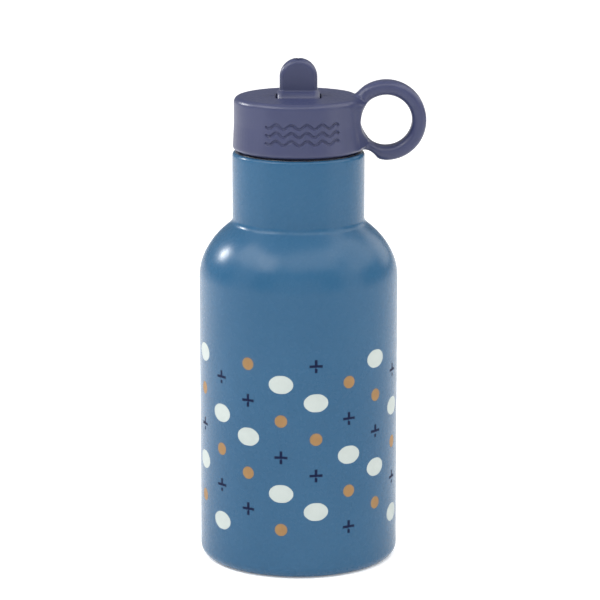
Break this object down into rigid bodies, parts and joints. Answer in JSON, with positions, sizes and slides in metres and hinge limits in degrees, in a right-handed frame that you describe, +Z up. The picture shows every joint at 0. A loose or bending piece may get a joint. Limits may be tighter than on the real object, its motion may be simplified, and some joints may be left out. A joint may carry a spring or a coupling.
{
  "type": "kids water bottle",
  "caption": "Vacuum-insulated steel water bottle for a child, with a screw lid, a carry ring, and a flip-up drinking spout fed by a straw.",
  "frame": {"origin": "on the bottle's axis, on the plane that it stands on", "axes": "+Z up along the bottle's axis, +X towards the carry ring, +Y the way the spout folds back"},
  "size_m": [0.0796, 0.07, 0.1783],
  "materials": {
    "shell_paint": "satin",
    "bare_steel": "brushed",
    "solder_glass": "gloss",
    "getter_metal": "matt",
    "cap_plastic": "satin",
    "plug_plastic": "satin",
    "silicone": "matt",
    "foam": "matt",
    "straw_plastic": "gloss"
  },
  "bodies": {
    "bottle": {"outer_shell": "shell_paint", "inner_vessel": "bare_steel", "outer_base": "bare_steel", "sealing_bead": "solder_glass", "getter_holder": "bare_steel", "getter_pellet": "getter_metal", "base_pad": "foam", "bottom_cover": "bare_steel"},
    "seal_ring": {"lid_seal": "silicone"},
    "lid": {"lid_cap": "cap_plastic", "lid_plug": "plug_plastic", "foam_ring": "foam", "spout_seal": "silicone", "vent_valve": "silicone"},
    "spout": {"spout": "cap_plastic"},
    "straw": {"straw": "straw_plastic"}
  },
  "joints": [
    {"name": "lid_lift", "type": "slide", "parent": "bottle", "child": "seal_ring", "axis": [0, 0, 1], "range_m": [0, 0.00501]},
    {"name": "lid_turn", "type": "hinge", "parent": "seal_ring", "child": "lid", "pos_m": [0, 0, 0.1399], "axis": [0, 0, 1], "range_deg": [0, 450]},
    {"name": "spout_flip", "type": "hinge", "parent": "lid", "child": "spout", "pos_m": [0, 0, 0.16182], "axis": [-1, 0, 0], "range_deg": [0, 90]},
    {"name": "straw_pull", "type": "slide", "parent": "lid", "child": "straw", "axis": [0, 0, -1], "range_m": [0, 0.0055]}
  ],
  "couplings": [
    {"joint": "lid_lift", "follows": "lid_turn", "m_per_rad": 0.00063662}
  ]
}
